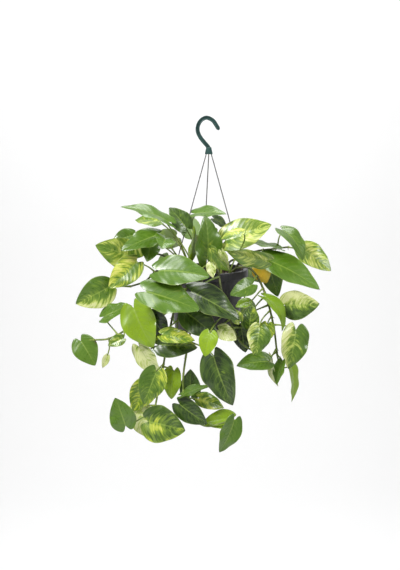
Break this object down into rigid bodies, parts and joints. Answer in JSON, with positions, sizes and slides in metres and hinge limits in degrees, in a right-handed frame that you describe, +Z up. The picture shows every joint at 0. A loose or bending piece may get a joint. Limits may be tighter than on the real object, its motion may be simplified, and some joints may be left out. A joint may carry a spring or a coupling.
{
  "type": "potted pothos plant",
  "caption": "Golden pothos with heart-shaped variegated leaves trailing over a tapered plastic hanging pot, hung by steel wires from a plastic hook.",
  "frame": {"origin": "the seat of the hook: the point inside its bend that rests on a nail, rail or ceiling hook", "axes": "+Z up along the hanging line, +X to the right seen from the front, +Y towards the back"},
  "size_m": [0.5485, 0.3459, 0.6882],
  "materials": {
    "pot_plastic": "satin charcoal moulded plastic",
    "soil": "coarse brown peat mix",
    "hook_plastic": "satin dark green moulded plastic",
    "wire_steel": "drawn steel wire",
    "stem": "smooth green and brown stem",
    "leaf_green": "glossy waxy leaf",
    "leaf_dark": "glossy waxy leaf",
    "leaf_lime": "glossy waxy leaf",
    "leaf_variegated": "glossy waxy leaf, marbled green and cream",
    "leaf_pale": "glossy waxy leaf, yellow and cream"
  },
  "bodies": {
    "root": {"hook": "hook_plastic", "leaf_back_left_flat": "leaf_lime", "leaf_back_right_tall": "leaf_dark", "leaf_back_upright": "leaf_green", "leaf_back_wide": "leaf_variegated", "leaf_centre_edge_on": "leaf_lime", "leaf_centre_upright": "leaf_green", "leaf_front_big_lower": "leaf_green", "leaf_front_big_upper": "leaf_green", "leaf_front_dark_veined": "leaf_dark", "leaf_front_low": "leaf_variegated", "leaf_front_right_gloss": "leaf_dark", "leaf_left_big_lime": "leaf_lime", "leaf_left_bright": "leaf_green", "leaf_left_half_cream": "leaf_variegated", "leaf_left_marbled": "leaf_variegated", "leaf_left_sheen": "leaf_green", "leaf_left_wavy": "leaf_green", "leaf_left_yellow": "leaf_pale", "leaf_long_centre_big": "leaf_dark", "leaf_long_centre_last": "leaf_green", "leaf_long_left_big": "leaf_variegated", "leaf_long_left_cream": "leaf_pale", "leaf_long_left_splash": "leaf_variegated", "leaf_long_left_striped": "leaf_pale", "leaf_right_arching": "leaf_lime", "leaf_right_drooping": "leaf_green", "leaf_right_edge_on": "leaf_green", "leaf_right_far": "leaf_variegated", "leaf_right_half_pale": "leaf_variegated", "leaf_right_half_yellow": "leaf_variegated", "leaf_right_last": "leaf_lime", "leaf_right_long": "leaf_green", "leaf_right_margined": "leaf_variegated", "leaf_right_pointed": "leaf_green", "leaf_right_tongue": "leaf_variegated", "leaf_top_flat": "leaf_green", "leaf_top_left_behind": "leaf_variegated", "leaf_top_left_dark": "leaf_dark", "leaf_top_left_long": "leaf_green", "leaf_top_right_marbled": "leaf_variegated", "leaf_top_right_yellow": "leaf_pale", "pot": "pot_plastic", "soil": "soil", "vine_back_centre": "stem", "vine_back_left": "stem", "vine_back_right": "stem", "vine_front": "stem", "vine_front_right": "stem", "vine_left_high": "stem", "vine_left_low": "stem", "vine_left_mid": "stem", "vine_long_centre": "stem", "vine_long_left": "stem", "vine_right_high": "stem", "vine_right_low": "stem", "wire_back": "wire_steel", "wire_front_left": "wire_steel", "wire_front_right": "wire_steel"}
  },
  "joints": []
}
